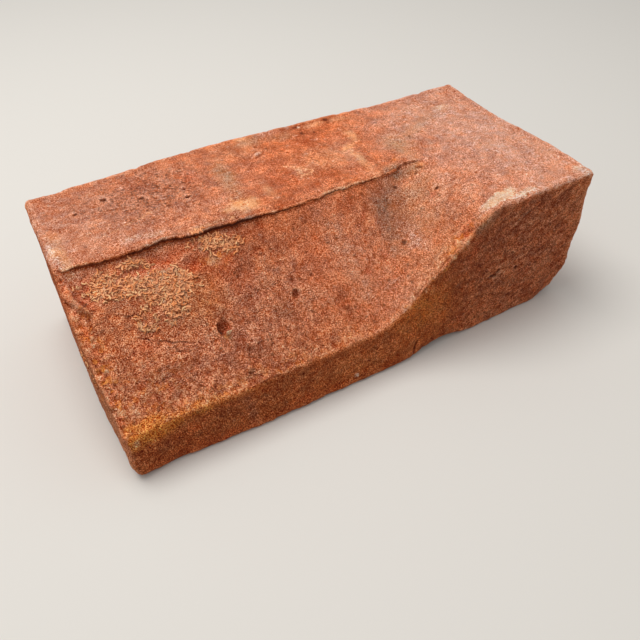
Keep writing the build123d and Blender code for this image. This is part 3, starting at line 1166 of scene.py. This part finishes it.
    height = rough * (grit * 0.9 + speck * 0.8 + sand * 1.4) + streaks * 2.2 + dark * -0.5
    height = height + cover * (0.2 + sound * 0.6)
    matt = kit.ramp(speck, -0.2, 0.2, 0.84, 0.98)
    finish_material(kit, clay, shades, matt, height, 1.0, 0.0009)
    return material


def crumb_material(name, side, low, middle, high):
    """Crumbs of three tones, each crumb of one but for the sides that do not look up and forward, which
    are painted in shade, with a fine grain over them all.
    """
    material, kit = new_material(name)
    place = kit.value("ShaderNodeTexCoord", key="Object")
    tone = carried(kit, "tone")
    body = kit.blend(kit.ramp(tone, 0.10, 0.40), (*low, 1.0), (*middle, 1.0))
    body = kit.blend(kit.ramp(tone, 0.65, 0.95), body, (*high, 1.0))
    fine = kit.centred(place, 0.0006, 2.0, 0.6, 15.0)
    # Painted shade: what does not look up and forward takes the side colour
    lit_share = carried(kit, "proud") * kit.ramp(fine, -0.22, 0.02, 0.45, 1.0)
    body = kit.blend(lit_share, (*side, 1.0), body)
    shades = [1.0 + fine * gain for gain in (0.3, 0.35, 0.4)]
    finish_material(kit, body, shades, 0.95, fine, 0.8, 0.0003)
    return material


class BRICK_OT_body(bpy.types.Operator):
    """Builds the brick's worn body round the solid"""

    bl_idname = "brick.body"
    bl_label = "Brick Body"

    def execute(self, context):
        form = context.scene.brick_form
        material = clay_material(context.scene.brick_colours)
        noise.seed_set(form.seed)

        block = new_object("brick_block", merged_copy(NODE))
        remesh = block.modifiers.new("Even mesh", "REMESH")
        remesh.mode = "VOXEL"
        remesh.voxel_size = form.voxel
        fine = baked(block, "brick_fine")
        normals = vertex_normals(fine.data)
        sculpt(fine.data, normals, form.seed)
        detail = stain(fine.data, normals)
        weigh(fine, "spare", 1 - detail)

        skin = fine.modifiers.new("Clay skin", "NODES")
        skin.node_group = clay_skin_tree()
        values = {
            "Warp": form.warp, "Lumps": form.lump, "Clods": form.clod, "Grain": form.grain,
            "Drag": form.drag, "Pits": form.pit, "Chips": form.chip, "Crumbs": form.crumb,
            "Seed": float(form.seed), "Material": material,
        }
        set_inputs(skin, values)
        thin = fine.modifiers.new("Thin out", "DECIMATE")
        thin.use_collapse_triangulate = True
        thin.vertex_group = "spare"
        thin.ratio = min(1.0, form.triangle_limit / (2 * len(fine.data.polygons)))
        body = baked(fine, "brick_body")
        body.vertex_groups.clear()
        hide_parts(NODE)
        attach(body, BODY)
        return {"FINISHED"}


def strew(name, tree, values):
    """Makes a piece of the crumbs that a geometry tree strews over the body."""
    source = new_object(name + "_source", bpy.data.objects["brick_body"].data.copy())
    crumbs = source.modifiers.new("Crumbs", "NODES")
    crumbs.node_group = tree
    set_inputs(crumbs, values)
    piece = baked(source, name)
    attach(piece, BODY)


class BRICK_OT_crust(bpy.types.Operator):
    """Strews the sandy crust on the splay"""

    bl_idname = "brick.crust"
    bl_label = "Sandy Crust"

    def execute(self, context):
        form = context.scene.brick_strewn
        colours = context.scene.brick_colours
        material = crumb_material("Sandy crust", colours.strand_shade, colours.husk, colours.amber, colours.cream)
        values = {
            "Length": form.strand_length, "Thickness": form.strand_thickness,
            "Density": form.strand_density, "Seed": float(form.seed), "Material": material,
        }
        strew("sandy_crust", crust_tree(), values)
        return {"FINISHED"}


class BRICK_OT_grit(bpy.types.Operator):
    """Strews grit over the torn clay"""

    bl_idname = "brick.grit"
    bl_label = "Grit"

    def execute(self, context):
        form = context.scene.brick_strewn
        colours = context.scene.brick_colours
        material = crumb_material("Grit", colours.umber, colours.umber, colours.umber, colours.clay)
        values = {
            "Size": form.grain_size, "Density": form.grain_density, "Seed": float(form.seed + 10),
            "Material": material,
        }
        strew("clay_grit", grit_tree(), values)
        return {"FINISHED"}


def seen(kit):
    """1 for what the camera sees, straight or in something shiny or clear, and 0 for what lights."""
    rays = kit.node("ShaderNodeLightPath").outputs
    return kit.most(*(Value(kit, rays[f"Is {kind} Ray"]) for kind in ("Camera", "Glossy", "Transmission")))


def floor_material(look):
    """Pale floor that still lights the brick no more than open ground does."""
    material, kit = new_material("Pale floor")
    shown = kit.blend(seen(kit), (*look.bounce, 1.0), (*look.floor, 1.0))
    shader = kit.value("ShaderNodeBsdfDiffuse", {"Color": shown})
    kit.node("ShaderNodeOutputMaterial", {"Surface": shader})
    return material


def make_floor(look):
    low, high = -FLOOR_REACH, FLOOR_REACH
    corners = [(low, low, 0), (high, low, 0), (high, high, 0), (low, high, 0)]
    mesh = bpy.data.meshes.new("floor")
    mesh.from_pydata(corners, [], [(0, 1, 2, 3)])
    mesh.materials.append(floor_material(look))
    floor = new_object("floor", mesh)


def make_sky(look):
    world = bpy.data.worlds.new("Soft light")
    bpy.context.scene.world = world
    world.use_nodes = True
    kit = Tree(world.node_tree)
    even = kit.value("ShaderNodeBackground", {"Color": SKY_TINT, "Strength": look.sky_strength})
    shown = kit.value("ShaderNodeBackground", {"Color": (*look.floor, 1.0), "Strength": 1.0})
    mixed = kit.value("ShaderNodeMixShader", {0: seen(kit), 1: even, 2: shown})
    kit.node("ShaderNodeOutputWorld", {"Surface": mixed})


def make_lamp(look):
    lamp = bpy.data.lights.new("overhead lamp", "AREA")
    lamp.shape = "DISK"
    lamp.size = LAMP_SIZE
    lamp.energy = look.key_power
    lamp.color = LAMP_TINT
    holder = new_object("overhead lamp", lamp)
    holder.location = LAMP_PLACE
    holder.rotation_euler = (LAMP_PLACE - LAMP_TARGET).to_track_quat("Z", "Y").to_euler()


def make_camera():
    swing = math.cos(CAMERA_ELEVATION)
    across, along = math.sin(CAMERA_AZIMUTH) * swing, -math.cos(CAMERA_AZIMUTH) * swing
    back = Vector((across, along, math.sin(CAMERA_ELEVATION)))
    data = bpy.data.cameras.new("camera")
    data.sensor_width = CAMERA_SENSOR
    data.lens = CAMERA_LENS
    data.clip_start = CAMERA_NEAREST
    camera = new_object("camera", data)
    turn = back.to_track_quat("Z", "Y").to_matrix().to_4x4()
    roll = Matrix.Rotation(-CAMERA_ROLL, 4, "Z")
    camera.matrix_world = Matrix.Translation(CAMERA_TARGET + back * CAMERA_DISTANCE) @ turn @ roll
    bpy.context.scene.camera = camera


class BRICK_OT_stage(bpy.types.Operator):
    """Sets a plain pale floor, soft light and the camera"""

    bl_idname = "brick.stage"
    bl_label = "Stage"

    def execute(self, context):
        look = context.scene.brick_stage
        make_floor(look)
        make_sky(look)
        make_lamp(look)
        make_camera()
        context.scene.view_settings.view_transform = "Standard"
        return {"FINISHED"}


class BRICK_PT_panel(bpy.types.Panel):
    bl_idname = "BRICK_PT_panel"
    bl_label = "Stopped Plinth Brick"
    bl_space_type = "VIEW_3D"
    bl_region_type = "UI"
    bl_category = "Brick"

    def draw(self, context):
        layout = self.layout
        for name in GROUPS:
            group = getattr(context.scene, name)
            box = layout.box()
            for key in group.bl_rna.properties.keys():
                if key not in ("rna_type", "name"):
                    box.prop(group, key)
        for operator in OPERATORS:
            layout.operator(operator.bl_idname)


GROUPS = {
    "brick_form": BrickForm, "brick_strewn": StrewnForm, "brick_colours": BrickColours,
    "brick_stage": StageLook,
}
OPERATORS = (BRICK_OT_body, BRICK_OT_crust, BRICK_OT_grit, BRICK_OT_stage)
CLASSES = (*GROUPS.values(), *OPERATORS, BRICK_PT_panel)


def register():
    for cls in CLASSES:
        bpy.utils.register_class(cls)
    for name, group in GROUPS.items():
        setattr(bpy.types.Scene, name, PointerProperty(type=group))


def unregister():
    for name in GROUPS:
        delattr(bpy.types.Scene, name)
    for cls in reversed(CLASSES):
        bpy.utils.unregister_class(cls)


def main():
    register()
    bpy.ops.brick.stage()
    bpy.ops.brick.body()
    bpy.ops.brick.crust()
    bpy.ops.brick.grit()


if __name__ == "__main__":
    main()
